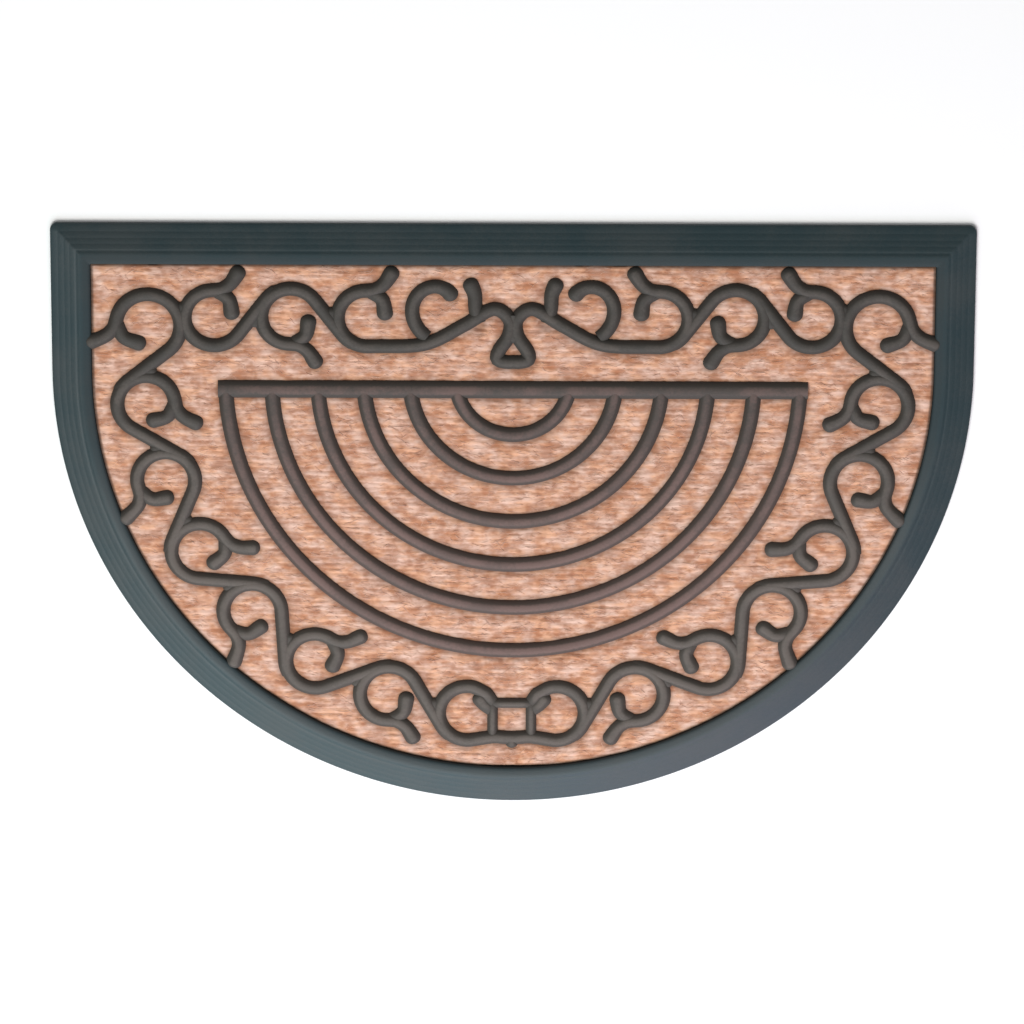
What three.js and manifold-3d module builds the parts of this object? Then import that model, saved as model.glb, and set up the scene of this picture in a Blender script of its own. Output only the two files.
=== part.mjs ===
// Half-round doormat: a flat panel of woven coir held in one rubber moulding.
//
// The moulding is a thin backing sheet, a bevelled border and, on top of the coir,
// raised ribs: a running scroll beside the border and a fan of half rings inside it.
// Small plugs of the same rubber strike through the coir and tie the ribs to the backing.
//
// Millimetres, +Z up. The origin is on the floor under the middle of the mat. The straight
// edge, which lies along the door sill, faces +Y, and the round edge faces -Y.

import * as THREE from 'three';
import { mergeVertices } from 'three/addons/utils/BufferGeometryUtils.js';
import Module from 'manifold-3d';

const wasm = await Module();
wasm.setup();

// Outline of the whole mat: straight sides, then a half circle
const WIDTH = 600;
const DEPTH = 400;
const CORNER_RADIUS = 5;
const CORNER_STEPS = 2;
const ROUND_STEPS = 44;
const ROUND_CENTRE_Y = (WIDTH - DEPTH) / 2;

// Layers, counted up from the floor
const GAP = 0.3;
const BACKING = 2.5;
const COIR_THICKNESS = 5.2;
const COIR_BOTTOM = BACKING + GAP;
const COIR_TOP = COIR_BOTTOM + COIR_THICKNESS;
const RIB_BOTTOM = COIR_TOP + GAP;
const RIB_HEIGHT = 2.4;
const RIB_TOP = RIB_BOTTOM + RIB_HEIGHT;

// Border section, from the floor over the crest and down to the backing sheet
const BORDER = 26;
const CREST = 10;
const BORDER_SECTION = [
  { inset: 0, height: 0 },
  { inset: 0, height: 2.5 },
  { inset: 0.8, height: 3.2 },
  { inset: 16.8, height: 9.2 },
  { inset: 18.6, height: CREST },
  { inset: 20.6, height: CREST },
  { inset: BORDER, height: 8.2 },
  { inset: BORDER, height: BACKING },
];

// Raised ribs, whose sides lean in so that they leave the mould
const SCROLL_WIDTH = 9.4;
const LINK_WIDTH = 7;
const FAN_WIDTH = 10;
const RIB_CROWN = 0.58;
const RIB_STEP = 8;
const TIP_SIDES = 8;
const TIP_FIT = 0.97;

// Fan: half rings that hang from a straight bar
const FAN_RINGS = 6;
const FAN_FIRST_RADIUS = 37;
const FAN_PITCH = 30;
const FAN_STEP_ANGLE = 9;
const FAN_CENTRE_Y = 95;
const BAR_WIDTH = 12;
const BAR_Y = FAN_CENTRE_Y - BAR_WIDTH / 2;

// Scroll: a stem that winds from side to side past a row of circles, with a curl on each.
// The side vine follows the round edge in equal steps, and the top vine the straight edge.
const CURL_RADIUS = 19.75;
const CORNER_CURL_RADIUS = 22;
const SIDE_VINE = { centreY: 102, radius: 239.5, circles: 8, firstAngle: 172.7, stepAngle: 12.9 };
const TOP_VINE = { x: -194.5, y: 138, circles: 3, pitch: 49.75 };

// A curl ends in a fork: past its apex it bends away to an outer prong, and an inner prong branches
// off. Reach is towards the curl's own side and run is along the vine, both in circle radii.
const APEX_REACH = 0.92;
const BEND = [{ reach: 1.17, run: 0.58 }, { reach: 0.97, run: 0.3 }];
const FREE_PRONG = [{ reach: 1.54, run: 0.82 }, ...BEND];
const BORDER_PRONG = [{ reach: 1.68, run: 0.86 }, ...BEND];
const LINK_START = [{ reach: 0.8, run: 0.44 }];
const INNER_PRONG = [{ reach: 0.9, run: 0.12 }, { reach: 0.62, run: 0.5 }, { reach: 0.14, run: 0.6 }];

// Where the two halves of the scroll meet: a bell at the straight edge, a link at the round edge
const BELL = [
  { x: -58, y: 120 },
  { x: -32, y: 133 },
  { x: -13, y: 144 },
  { x: -2.4, y: 137 },
  { x: -2.8, y: 126 },
  { x: -9, y: 116 },
  { x: -10.2, y: 110 },
  { x: -5, y: 108 },
  { x: 1, y: 108 },
];
const HOOK = { x: -50, y: 147.5, widest: 23.5, tightest: 11.5, from: 255, to: 35 };
const SPUR = { foot: { x: -23.5, y: 137 }, tip: { x: -26, y: 160 } };
const LINK = { postX: -12.7, barY: -129, railY: -153, dropY: -157, overlap: 1 };
const LINK_HOOK = [
  { x: LINK.postX, y: -134 },
  { x: -17.5, y: -130.3 },
  { x: -21, y: -126 },
];

// Two forks are turned round their curls, in degrees: the first, to meet the border square, and the
// one before the link, to clear the border
const CORNER_FORK_TURN = -10;
const LINK_FORK_TURN = 20;

// Plugs of rubber through the coir, under the ribs
const PLUG = 5;
const PLUG_ROOT = 0.6;
const FAN_PLUG_ANGLES = [225, 315];
const BAR_PLUGS = [-125, 0, 125];

const DEGREES = Math.PI / 180;

const rubber = new THREE.MeshStandardMaterial({ color: 0x434d51, roughness: 0.72, metalness: 0 });
const coir = new THREE.MeshStandardMaterial({ color: 0xd0a27f, roughness: 0.96, metalness: 0 });

/** A plan point at a distance and an angle in degrees from a centre. */
function polar(centre, radius, angle) {
  const turned = angle * DEGREES;
  return new THREE.Vector2(centre.x + radius * Math.cos(turned), centre.y + radius * Math.sin(turned));
}

/** Points on an arc between two angles, in steps no wider than asked, while the radius changes evenly. */
function arc(centre, from, to, radius, lastRadius = radius, stepAngle = 15) {
  const count = Math.max(3, Math.ceil(Math.abs(to - from) / stepAngle));
  return Array.from({ length: count + 1 }, (_, i) => {
    const share = i / count;
    return polar(centre, radius + (lastRadius - radius) * share, from + (to - from) * share);
  });
}

/** A closed body for boolean work: the geometry's seams are merged and its points put on a micron grid. */
function solid(geometry) {
  const bare = geometry.clone();
  bare.deleteAttribute('normal');
  bare.deleteAttribute('uv');
  const merged = mergeVertices(bare, 1e-4);
  return new wasm.Manifold(
    new wasm.Mesh({
      numProp: 3,
      vertProperties: merged.attributes.position.array.map((v) => Math.round(v * 1000) / 1000),
      triVerts: new Uint32Array(merged.index.array),
    }),
  );
}

/** Bodies joined into one. */
function joined(bodies) {
  return bodies.reduce((whole, body) => whole.add(body));
}

/** A named mesh from a finished body. */
function meshOf(body, name, material) {
  const result = body.getMesh();
  const geometry = new THREE.BufferGeometry();
  geometry.setAttribute('position', new THREE.BufferAttribute(result.vertProperties, 3));
  geometry.setIndex(new THREE.BufferAttribute(result.triVerts, 1));
  geometry.computeVertexNormals();
  const mesh = new THREE.Mesh(geometry, material);
  mesh.name = name;
  return mesh;
}

/** The mat's outline drawn in by an inset, anticlockwise. Every inset has the same point count. */
function outline(inset) {
  const half = WIDTH / 2 - inset;
  const round = Math.max(CORNER_RADIUS - inset, 1);
  const cornerY = DEPTH / 2 - inset - round;
  const stepAngle = 90 / CORNER_STEPS;
  const cornerArc = (x, from) => Array.from({ length: CORNER_STEPS + 1 }, (_, i) => (
    polar({ x, y: cornerY }, round, from + i * stepAngle)
  ));
  return [
    ...cornerArc(half - round, 0),
    ...cornerArc(round - half, 90),
    ...arc({ x: 0, y: ROUND_CENTRE_Y }, 180, 360, half, half, 180 / ROUND_STEPS),
  ];
}

/** A closed skin over a row of outlines, each with an inset and a height, with flat end faces. */
function skinOver(section) {
  const rings = section.map(({ inset }) => outline(inset));
  const points = section.flatMap(({ height }, i) => (
    rings[i].map((p) => new THREE.Vector3(p.x, p.y, height))
  ));
  const count = rings[0].length;
  const top = points.length - count;
  const index = [];
  for (let start = 0; start < top; start += count) {
    for (let i = 0; i < count; i++) {
      const here = start + i;
      const next = start + ((i + 1) % count);
      index.push(here, next, next + count, here, next + count, here + count);
    }
  }
  for (const [a, b, c] of THREE.ShapeUtils.triangulateShape(rings[0], [])) {
    index.push(a, c, b);
  }
  for (const [a, b, c] of THREE.ShapeUtils.triangulateShape(rings[rings.length - 1], [])) {
    index.push(top + a, top + b, top + c);
  }
  const geometry = new THREE.BufferGeometry().setFromPoints(points);
  geometry.setIndex(index);
  return geometry;
}

/** One raised rib along plan points. */
function rib(points, width, step = RIB_STEP) {
  const foot = width / 2;
  const crown = foot * RIB_CROWN;
  const places = points.map((p) => new THREE.Vector3(p.x, p.y, RIB_BOTTOM));
  const path = new THREE.CatmullRomCurve3(places, false, 'centripetal');
  const steps = Math.max(2, Math.round(path.getLength() / step));
  // Along a level path the section's x points down and its y across
  const section = new THREE.Shape([
    new THREE.Vector2(0, -foot),
    new THREE.Vector2(0, foot),
    new THREE.Vector2(-RIB_HEIGHT, crown),
    new THREE.Vector2(-RIB_HEIGHT, -crown),
  ]);
  return solid(new THREE.ExtrudeGeometry(section, { steps, extrudePath: path }));
}

/** The round end of a rib. */
function tip(place, width) {
  const foot = (width / 2) * TIP_FIT;
  const end = new THREE.CylinderGeometry(foot * RIB_CROWN, foot, RIB_HEIGHT, TIP_SIDES);
  end.rotateX(Math.PI / 2);
  end.translate(place.x, place.y, RIB_BOTTOM + RIB_HEIGHT / 2);
  return solid(end);
}

/** Direction in degrees of the stem's straight run from one circle to the far side of the next. */
function crossing(from, to, turn) {
  const dx = to.x - from.x;
  const dy = to.y - from.y;
  const reach = from.radius + to.radius;
  const run = Math.sqrt(dx * dx + dy * dy - reach * reach);
  return (Math.atan2(dy, dx) + turn * Math.atan2(reach, run)) / DEGREES;
}

/** An angle moved by whole turns until it lies after the start, the way the turn goes. */
function onward(start, angle, turn) {
  const span = (angle - start) * turn;
  return start + turn * (span - 360 * Math.floor(span / 360));
}

/**
 * Plan lines of one vine. On each circle a ring starts at its outer prong, curls round past the place
 * where the stem arrives from the circle before, and leaves as the stem for the circle after, on whose
 * other side it arrives; on the last circle it goes on to lastAngle. An inner prong branches off near
 * the apex of each curl. Plugs are the middles of the rings' stem sides.
 */
function vine(circles, firstTurn, lastAngle) {
  const rings = [];
  const prongs = [];
  const plugs = [];
  circles.forEach((circle, i) => {
    const turn = i % 2 ? -firstTurn : firstTurn;
    const after = circles[i + 1];
    const from = circles[i - 1] ?? circle;
    const to = after ?? circle;
    const along = new THREE.Vector2(to.x - from.x, to.y - from.y).normalize();
    along.rotateAround(new THREE.Vector2(), -turn * circle.forkTurn * DEGREES);
    const side = new THREE.Vector2(-along.y, along.x).multiplyScalar(turn);
    const place = ({ reach, run }) => new THREE.Vector2(circle.x, circle.y)
      .addScaledVector(side, reach * circle.radius)
      .addScaledVector(along, run * circle.radius);

    const apex = Math.atan2(side.y, side.x) / DEGREES;
    const heading = after ? crossing(circle, after, turn) : 0;
    const leave = onward(apex, after ? heading - 90 * turn : lastAngle, turn);
    const curl = arc(circle, apex, leave, APEX_REACH * circle.radius, circle.radius);
    const stem = after ? [polar(after, after.radius, heading + 90 * turn)] : [];
    rings.push([...circle.start.map(place), ...curl, ...stem]);
    prongs.push(INNER_PRONG.map(place));
    plugs.push(polar(circle, circle.radius, leave - 70 * turn));
  });
  return { rings, prongs, plugs };
}

/** The small hook on the top vine: a spiral that tightens towards its tip. */
function hookLine() {
  return Array.from({ length: 13 }, (_, i) => {
    const left = 1 - i / 12;
    const radius = HOOK.tightest + (HOOK.widest - HOOK.tightest) * left ** 3;
    return polar(HOOK, radius, HOOK.to + (HOOK.from - HOOK.to) * left);
  });
}

/** How the fork of a circle of the side vine starts and how far it is turned. */
function sideFork(i) {
  if (i === SIDE_VINE.circles - 1) {
    return { start: LINK_START, forkTurn: 0 };
  }
  if (i === SIDE_VINE.circles - 2) {
    return { start: FREE_PRONG, forkTurn: LINK_FORK_TURN };
  }
  if (i === 0) {
    return { start: FREE_PRONG, forkTurn: CORNER_FORK_TURN };
  }
  return { start: i % 2 ? FREE_PRONG : BORDER_PRONG, forkTurn: 0 };
}

/** The scroll's left half: plan lines, those of the link's thin bars, round rib ends and plug places. */
function scrollHalf() {
  const point = ({ x, y }) => new THREE.Vector2(x, y);
  const sideCentre = { x: 0, y: SIDE_VINE.centreY };
  const sideCircles = Array.from({ length: SIDE_VINE.circles }, (_, i) => {
    const { x, y } = polar(sideCentre, SIDE_VINE.radius, SIDE_VINE.firstAngle + i * SIDE_VINE.stepAngle);
    return { x, y, radius: i === 0 ? CORNER_CURL_RADIUS : CURL_RADIUS, ...sideFork(i) };
  });
  const topCircles = Array.from({ length: TOP_VINE.circles }, (_, i) => (
    { x: TOP_VINE.x + i * TOP_VINE.pitch, y: TOP_VINE.y, radius: CURL_RADIUS, start: FREE_PRONG, forkTurn: 0 }
  ));
  const side = vine(sideCircles, -1, 275);
  const top = vine(topCircles, 1, 275);

  const post = new THREE.Vector2(LINK.postX, LINK.railY);
  const barEnd = new THREE.Vector2(LINK.postX, LINK.barY);
  const lastRing = side.rings.at(-1);
  const freeRings = [...top.rings, ...side.rings.slice(0, -1)];
  const branches = [
    ...top.prongs,
    ...side.prongs.slice(0, -1),
    hookLine(),
    [point(SPUR.foot), point(SPUR.tip)],
    LINK_HOOK.map(point),
    [new THREE.Vector2(0, LINK.railY), new THREE.Vector2(0, LINK.dropY)],
  ];
  const thinLines = [
    [barEnd, post],
    [barEnd, new THREE.Vector2(LINK.overlap, LINK.barY)],
  ];
  lastRing.unshift(barEnd);
  lastRing.push(post, new THREE.Vector2(LINK.overlap, LINK.railY));
  top.rings.at(-1).push(...BELL.map(point));
  return {
    lines: [...top.rings, ...side.rings, ...branches],
    thinLines,
    ends: [...freeRings.map((line) => line[0]), ...branches.map((line) => line.at(-1))],
    plugs: [...top.plugs, ...side.plugs],
  };
}

/** All ribs of the scroll, both halves, joined. */
function scrollRibs({ lines, thinLines, ends }) {
  const ribs = [1, -1].flatMap((side) => {
    const turned = (p) => new THREE.Vector2(side * p.x, p.y);
    return [
      ...lines.map((line) => rib(line.map(turned), SCROLL_WIDTH)),
      ...thinLines.map((line) => rib(line.map(turned), LINK_WIDTH)),
      ...ends.map((end) => tip(turned(end), SCROLL_WIDTH)),
    ];
  });
  return joined(ribs);
}

function fanRadius(ring) {
  return FAN_FIRST_RADIUS + ring * FAN_PITCH;
}

/** The bar and half rings of the fan, joined. */
function fanRibs() {
  const outer = fanRadius(FAN_RINGS - 1) + FAN_WIDTH / 2;
  const bar = rib([new THREE.Vector2(-outer, BAR_Y), new THREE.Vector2(outer, BAR_Y)], BAR_WIDTH, outer);
  const rings = Array.from({ length: FAN_RINGS }, (_, ring) => {
    const radius = fanRadius(ring);
    const dip = Math.asin(BAR_WIDTH / 2 / radius) / DEGREES;
    const line = arc({ x: 0, y: FAN_CENTRE_Y }, 180 + dip, 360 - dip, radius);
    return rib(line, FAN_WIDTH, Math.max(RIB_STEP, radius * FAN_STEP_ANGLE * DEGREES));
  });
  return joined([bar, ...rings]);
}

/** Where plugs pass through the coir: under the bar and rings of the fan, and under the stems. */
function plugPlaces({ plugs }) {
  const fanCentre = { x: 0, y: FAN_CENTRE_Y };
  return [
    ...BAR_PLUGS.map((x) => new THREE.Vector2(x, BAR_Y)),
    ...FAN_PLUG_ANGLES.flatMap((angle) => (
      Array.from({ length: FAN_RINGS }, (_, ring) => polar(fanCentre, fanRadius(ring), angle))
    )),
    ...plugs,
    ...plugs.map((p) => new THREE.Vector2(-p.x, p.y)),
  ];
}

/** A square plug, grown by a margin all round, over a span of heights. */
function plug({ x, y }, margin, low, high) {
  const box = new THREE.BoxGeometry(PLUG + 2 * margin, PLUG + 2 * margin, high - low);
  box.translate(x, y, (low + high) / 2);
  return solid(box);
}

function rubberMoulding(scroll, places) {
  const tray = solid(skinOver(BORDER_SECTION));
  const plugs = places.map((place) => plug(place, 0, BACKING - PLUG_ROOT, RIB_BOTTOM + PLUG_ROOT));
  return joined([tray, scrollRibs(scroll), fanRibs(), ...plugs]);
}

function coirPanel(places) {
  const slab = solid(skinOver([
    { inset: BORDER + GAP, height: COIR_BOTTOM },
    { inset: BORDER + GAP, height: COIR_TOP },
  ]));
  return slab.subtract(joined(places.map((place) => plug(place, GAP, 0, RIB_TOP))));
}

const scroll = scrollHalf();
const places = plugPlaces(scroll);

const mat = new THREE.Group();
mat.add(meshOf(rubberMoulding(scroll, places), 'rubber_moulding', rubber));
mat.add(meshOf(coirPanel(places), 'coir_panel', coir));

export default mat;
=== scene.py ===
import math

import bpy
import numpy as np
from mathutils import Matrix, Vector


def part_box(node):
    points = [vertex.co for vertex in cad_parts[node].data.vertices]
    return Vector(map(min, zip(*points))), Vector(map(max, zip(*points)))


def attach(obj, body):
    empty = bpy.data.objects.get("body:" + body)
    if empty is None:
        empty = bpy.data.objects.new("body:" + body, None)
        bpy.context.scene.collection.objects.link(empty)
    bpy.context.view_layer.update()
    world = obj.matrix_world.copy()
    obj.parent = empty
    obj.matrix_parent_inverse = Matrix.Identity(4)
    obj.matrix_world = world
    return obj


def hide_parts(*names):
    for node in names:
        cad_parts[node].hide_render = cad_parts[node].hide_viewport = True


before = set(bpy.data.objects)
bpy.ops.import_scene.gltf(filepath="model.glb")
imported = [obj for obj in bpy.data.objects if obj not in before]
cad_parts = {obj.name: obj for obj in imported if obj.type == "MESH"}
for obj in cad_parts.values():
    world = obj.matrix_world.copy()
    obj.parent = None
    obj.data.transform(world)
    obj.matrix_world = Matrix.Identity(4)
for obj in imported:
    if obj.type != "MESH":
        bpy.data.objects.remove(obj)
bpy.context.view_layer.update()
RUBBER_LOW, RUBBER_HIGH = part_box("rubber_moulding")
COIR_LOW, COIR_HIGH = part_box("coir_panel")

bl_info = {
    "name": "Half-round coir doormat",
    "version": (1, 0, 0),
    "blender": (4, 5, 0),
    "location": "View3D > Sidebar > Doormat",
    "description": "Builds the looks of a half-round doormat: woven coir in one rubber moulding",
    "category": "Object",
}

# Plan work is in millimetres, as on a maker's drawing, and meshes are in metres.
MM = 0.001
BODY = "root"


class DoormatSizes(bpy.types.PropertyGroup):
    """Sizes of the moulding and the panel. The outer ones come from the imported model."""

    width: bpy.props.FloatProperty(
        name="Width", description="Length of the straight edge",
        default=RUBBER_HIGH.x - RUBBER_LOW.x, unit="LENGTH")
    depth: bpy.props.FloatProperty(
        name="Depth", description="From the straight edge to the middle of the round edge",
        default=RUBBER_HIGH.y - RUBBER_LOW.y, unit="LENGTH")
    rib_top: bpy.props.FloatProperty(
        name="Rib top", description="Height of the ribs' crowns above the floor",
        default=RUBBER_HIGH.z, unit="LENGTH")
    rib_root: bpy.props.FloatProperty(
        name="Rib root", description="Height at which the ribs' rounded sides start, bedded in the coir",
        default=0.0076, unit="LENGTH")
    coir_top: bpy.props.FloatProperty(
        name="Coir top", description="Mean height of the woven surface above the floor",
        default=COIR_HIGH.z, unit="LENGTH")
    coir_bottom: bpy.props.FloatProperty(
        name="Coir bottom", description="Height of the panel's underside above the floor",
        default=COIR_LOW.z, unit="LENGTH")
    coir_inset: bpy.props.FloatProperty(
        name="Coir inset", description="From the mat's edge to the panel's edge",
        default=COIR_LOW.x - RUBBER_LOW.x, unit="LENGTH")
    corner_radius: bpy.props.FloatProperty(
        name="Corner radius", description="Rounding of the two corners of the straight edge",
        default=0.005, unit="LENGTH")
    scroll_width: bpy.props.FloatProperty(
        name="Scroll rib width", description="Width of the scroll's ribs at the coir",
        default=0.0094, unit="LENGTH")
    fan_width: bpy.props.FloatProperty(
        name="Fan rib width", description="Width of the fan's half rings at the coir",
        default=0.010, unit="LENGTH")
    bar_width: bpy.props.FloatProperty(
        name="Bar width", description="Width of the straight bar that the fan hangs from",
        default=0.012, unit="LENGTH")


class DoormatCoir(bpy.types.PropertyGroup):
    """The weave of the panel and the colours of its yarn."""

    row_pitch: bpy.props.FloatProperty(
        name="Row pitch", description="Distance from one row of yarn to the next",
        default=0.0036, unit="LENGTH")
    float_length: bpy.props.FloatProperty(
        name="Float length", description="Length of yarn that shows between two dips",
        default=0.0085, unit="LENGTH")
    relief: bpy.props.FloatProperty(
        name="Relief", description="Height of a yarn above the dips between yarns",
        default=0.0008, unit="LENGTH")
    fibres: bpy.props.IntProperty(
        name="Loose fibres", description="How many stray fibres stand out of the weave",
        default=6000, min=0, max=9900)
    pale: bpy.props.FloatVectorProperty(
        name="Pale yarn", description="Colour of the palest yarn",
        default=(0.75, 0.507, 0.408), subtype="COLOR", min=0, max=1)
    tan: bpy.props.FloatVectorProperty(
        name="Tan yarn", description="Colour of the usual yarn",
        default=(0.465, 0.244, 0.166), subtype="COLOR", min=0, max=1)
    # Brown is also the colour of the painted shade in the dips between floats.
    brown: bpy.props.FloatVectorProperty(
        name="Brown yarn", description="Colour of dark yarn and of the dips",
        default=(0.30, 0.125, 0.068), subtype="COLOR", min=0, max=1)


class DoormatRubber(bpy.types.PropertyGroup):
    """Colours of the moulded rubber."""

    clean: bpy.props.FloatVectorProperty(
        name="Clean rubber", description="Colour of the rubber where no dust lies",
        default=(0.008, 0.027, 0.033), subtype="COLOR", min=0, max=1)
    # The rib sides' colour and the dusty and trodden colours are blended on the ribs partly as wear and
    # dust, partly as painted shade on the sides and painted light on the crowns and towards the round edge.
    flank: bpy.props.FloatVectorProperty(
        name="Rib sides", description="Colour of the ribs' sides, deep in the coir",
        default=(0.040, 0.036, 0.031), subtype="COLOR", min=0, max=1)
    dusty_and_lit: bpy.props.FloatVectorProperty(
        name="Dusty rubber", description="Colour of the rubber where coir dust and scuffs show",
        default=(0.110, 0.092, 0.080), subtype="COLOR", min=0, max=1)
    trodden_and_lit: bpy.props.FloatVectorProperty(
        name="Trodden rubber", description="Colour of the fan's crowns, which most shoes tread on",
        default=(0.155, 0.098, 0.086), subtype="COLOR", min=0, max=1)


class DoormatStage(bpy.types.PropertyGroup):
    """Camera and lights."""

    elevation: bpy.props.FloatProperty(
        name="Elevation", description="Angle of the view above the floor",
        default=math.radians(70.7), subtype="ANGLE")
    roll: bpy.props.FloatProperty(
        name="Roll", description="Turn of the picture about the line of sight",
        default=math.radians(0.2), subtype="ANGLE")
    distance: bpy.props.FloatProperty(
        name="Distance", description="From the mat to the camera",
        default=5.0, unit="LENGTH")
    view_width: bpy.props.FloatProperty(
        name="View width", description="Width of what the camera sees at the mat",
        default=0.6715, unit="LENGTH")
    key_power: bpy.props.FloatProperty(
        name="Key power", description="Power of the large lamp above the round edge's side",
        default=108.0, subtype="POWER")
    front_power: bpy.props.FloatProperty(
        name="Front power", description="Power of the low, wide lamp in front of the round edge",
        default=18.0, subtype="POWER")
    fill_power: bpy.props.FloatProperty(
        name="Fill power", description="Power of the rosy lamp to the right",
        default=20.0, subtype="POWER")
    sky: bpy.props.FloatProperty(
        name="Sky", description="Strength of the even light from all round",
        default=0.31, min=0)


# Border section: inset from the mat's edge and height above the floor, in millimetres.
# It runs from the floor up the rim, over a bevel with three fine lines, a groove and a rounded
# bead, and down the inner slope and wall.
BORDER_SECTION = np.array([
    (0.5, 0.0), (0.12, 0.12), (0.0, 0.5), (0.0, 2.1), (0.15, 2.7), (0.55, 3.05), (1.2, 3.36),
    (4.6, 4.63), (4.9, 4.68), (5.3, 4.89), (8.6, 6.13), (8.9, 6.18), (9.3, 6.39), (12.2, 7.48),
    (12.5, 7.53), (12.9, 7.74), (15.4, 8.66), (16.0, 8.80), (16.6, 8.86), (17.2, 9.08), (17.9, 9.46),
    (18.7, 9.80), (19.7, 9.98), (21.0, 10.0), (23.0, 9.88), (24.6, 9.62), (25.4, 9.26), (25.85, 8.7),
    (26.0, 7.9), (26.0, 2.5),
])

# Plan of the ribs, in millimetres, after the solids' own plan. Only here the spur bends and webs fill
# the narrow angles between ribs.
ROUND_CENTRE = np.array((0.0, 100.0))
FAN_CENTRE = np.array((0.0, 95.0))
FAN_RADII = 37.0 + 30.0 * np.arange(6)
CURL_RADIUS = 19.75
CORNER_CURL_RADIUS = 22.0
SIDE_CENTRE = np.array((0.0, 102.0))
SIDE_RADIUS, SIDE_CIRCLES, SIDE_FIRST, SIDE_STEP = 239.5, 8, 172.7, 12.9
TOP_X, TOP_Y, TOP_CIRCLES, TOP_PITCH = -194.5, 138.0, 3, 49.75
# Places on a curl in circle radii: towards the curl's own side, then along the vine
APEX_REACH = 0.92
BEND = [(1.17, 0.58), (0.97, 0.30)]
FREE_PRONG, BORDER_PRONG, LINK_START = [(1.54, 0.82), *BEND], [(1.68, 0.86), *BEND], [(0.8, 0.44)]
INNER_PRONG = [(0.90, 0.12), (0.62, 0.50), (0.14, 0.60)]
CORNER_FORK_TURN, LINK_FORK_TURN = -10.0, 20.0
BELL = [(-58, 120), (-32, 133), (-13, 144), (-2.4, 137), (-2.8, 126), (-9, 116), (-10.2, 110),
        (-5, 108), (1, 108)]
HOOK_CENTRE, HOOK_WIDEST, HOOK_TIGHTEST, HOOK_FROM, HOOK_TO = (-50.0, 147.5), 23.5, 11.5, 255.0, 35.0
SPUR = [(-22.5, 135), (-24.5, 145), (-25, 154), (-27.5, 160.5)]
LINK_POST_X, LINK_BAR_Y, LINK_RAIL_Y, LINK_DROP_Y = -12.7, -129.0, -153.0, -157.0
LINK_HOOK = [(-12.7, -134), (-17.5, -130.3), (-21, -126)]
LINK_SHARE = 0.74
CORNER_WEB = [(-214.4, 145), (-216.4, 125.5)]
# Two short ribs on the middle line: one fills the bell's neck, one hangs under the link's rail.
BELL_NECK = [(0, 140.5), (0, 125)]
LINK_DROP = [(0, LINK_RAIL_Y), (0, LINK_DROP_Y)]
# Both vines end their last curl at this angle, and a stem goes on along the ring it meets, in degrees
LAST_ANGLE, STEM_OVERLAP = 275, 25
# A web runs over these distances back from where the stem meets the ring
WEB_RUN = np.linspace(6.0, 18.0, 7)
HOOK_POINTS = 40
# How far the fan's bar runs past the last ring's middle
BAR_OVERHANG = 5.0

# Spacing of points: on the outline in millimetres, points and degrees, then along ribs in millimetres
EDGE_STEP, CORNER_STEPS, ROUND_STEP = 8.0, 8, 1.2
SPAN_PIECES = 12
SCROLL_STEP, FAN_STEP, BAR_STEP = 1.6, 2.4, 6.0

# Rib section and ends, in millimetres or in shares of the width and height
SECTION_POINTS = 13
CROWN_POWER, LEAN_POWER = 2.6, 0.9
SKIRT = 1.2
DOME_ANGLES = np.radians((20, 40, 58, 73, 84))
KNOB, KNOB_REACH = 0.13, 6
SINK, SINK_REACH = 0.25, 9
WEB_DROP, WEB_SHARE = 0.7, 0.72
FAN_DROP = 0.08
# Heights, in metres, between which a rib's darker side turns into its lighter crown: partly wear and dust,
# partly painted shade on the side and painted light on the top
CROWN_FROM, CROWN_TO = 0.0099, 0.01065

# Coir: mesh rows for each row of yarn, mesh columns, where the last mesh row stops short of the round
# edge, and how far beside the rubber the panel is pressed down and shaded, in millimetres
ROWS_PER_YARN, COIR_COLUMNS = 4, 248
ROUND_END = 0.4
PRESS_REACH, PRESS_DEPTH = 2.4, 1.0
RIM_REACH = 1.6
# The open weave stands this far above the panel's mean height, which the pressed strips bring down
OPEN_RISE = 0.25
# Rib centrelines are measured to marks on them, for a chunk of places at a time
MARK_STEP, CHUNK = 2.5, 4000
# Sizes of the random tables: of lattice noise, with where it is read from, and of the rows' starts
LATTICE, LATTICE_SHIFT = 64, 1000
ROW_STARTS = 512

# Loose fibres, in millimetres, radians and shares of their length. More are tried than kept. Each is
# tapered over its stations and has three sides, and its tone is drawn from a beta distribution.
FIBRE_TRIES = 6
FIBRE_SPREAD, FIBRE_BOW = 0.42, 0.12
FIBRE_LENGTH, FIBRE_LIFT, FIBRE_RADIUS = (5.0, 13.0), (0.1, 0.5), (0.08, 0.16)
FIBRE_TAPER = np.array((0.55, 1, 1, 0.55))
FIBRE_SIDES = np.radians((90, 210, 330))
FIBRE_POINTS = len(FIBRE_TAPER) * len(FIBRE_SIDES)
FIBRE_CLEAR, FIBRE_ROOT = 0.7, 0.25
FIBRE_TONE = (3.6, 1.5)

# Stage, in metres: each lamp's name, the setting of its power, its size, place and colour
LAMPS = (
    ("key lamp", "key_power", 2.0, (-0.70, -1.80, 3.10), (1.0, 1.0, 0.97)),
    ("front lamp", "front_power", 1.6, (-0.48, -1.85, 0.95), (0.66, 0.95, 1.0)),
    ("fill lamp", "fill_power", 1.2, (0.75, -2.05, 1.05), (1.0, 0.74, 0.97)),
)
FLOOR_REACH = 6
SENSOR_WIDTH = 36.0
CLIP_END = 50.0
VIEW_TARGET = (-0.0003, 0.0020, 0.0)


def polar(centre, radius, degrees):
    """Points at a radius and an angle from a centre."""
    turned = np.radians(degrees)
    offsets = np.stack((np.cos(turned), np.sin(turned)), axis=-1) * np.expand_dims(radius, -1)
    return np.asarray(centre) + offsets


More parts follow.
